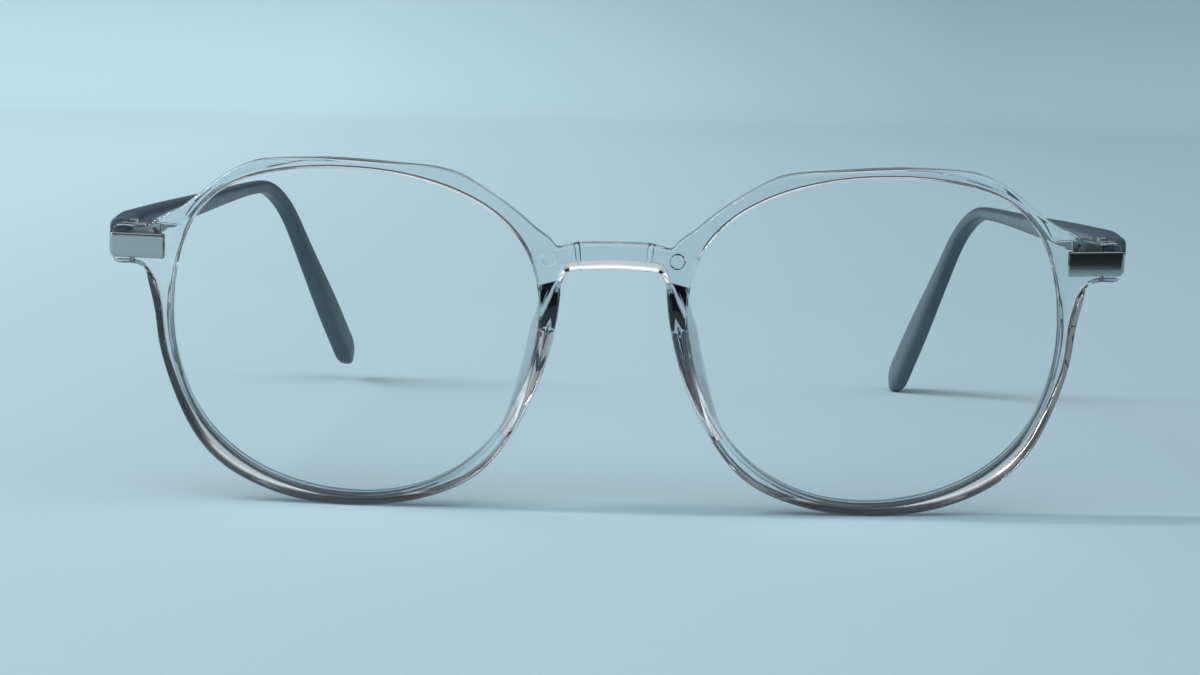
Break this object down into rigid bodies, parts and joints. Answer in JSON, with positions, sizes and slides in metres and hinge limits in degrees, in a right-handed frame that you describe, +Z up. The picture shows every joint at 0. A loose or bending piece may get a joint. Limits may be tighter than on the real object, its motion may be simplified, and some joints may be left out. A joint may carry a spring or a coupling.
{
  "type": "eyeglasses",
  "caption": "Eyeglasses with soft octagonal rims in clear moulded plastic, chrome corner plates, screwed leaf hinges and slim dark temples that bend down to the ear.",
  "frame": {"origin": "centre of the bounding box's bottom face, on the table that the open glasses stand on", "axes": "+Z up, +X to the right as the front is seen, +Y from the front back towards the temple tips"},
  "size_m": [0.1428, 0.137, 0.0482],
  "materials": {
    "crystal_plastic": "polished, clear with a faint cool grey",
    "lens": "polished, clear",
    "chrome_plate": "bright, fine lengthwise brushing",
    "hinge_steel": "satin",
    "screw_steel": "satin",
    "slate_plastic": "semi-gloss"
  },
  "bodies": {
    "front": {"front_frame": "crystal_plastic", "lens_left": "lens", "lens_right": "lens", "corner_plate_left": "chrome_plate", "corner_plate_right": "chrome_plate", "front_leaf_left": "hinge_steel", "front_leaf_right": "hinge_steel", "front_leaf_screw_left_lower": "screw_steel", "front_leaf_screw_left_upper": "screw_steel", "front_leaf_screw_right_lower": "screw_steel", "front_leaf_screw_right_upper": "screw_steel", "hinge_screw_left": "screw_steel", "hinge_screw_right": "screw_steel"},
    "temple_left": {"temple_arm_left": "slate_plastic", "temple_leaf_left": "hinge_steel", "temple_leaf_screw_left_front": "screw_steel", "temple_leaf_screw_left_rear": "screw_steel"},
    "temple_right": {"temple_arm_right": "slate_plastic", "temple_leaf_right": "hinge_steel", "temple_leaf_screw_right_front": "screw_steel", "temple_leaf_screw_right_rear": "screw_steel"}
  },
  "joints": [
    {"name": "temple_left_fold", "type": "hinge", "parent": "front", "child": "temple_left", "pos_m": [-0.0657, -0.05551, 0.0363], "axis": [0, 0, -1], "range_deg": [0, 76]},
    {"name": "temple_right_fold", "type": "hinge", "parent": "front", "child": "temple_right", "pos_m": [0.0657, -0.05551, 0.0363], "axis": [0, 0, 1], "range_deg": [0, 84]}
  ]
}
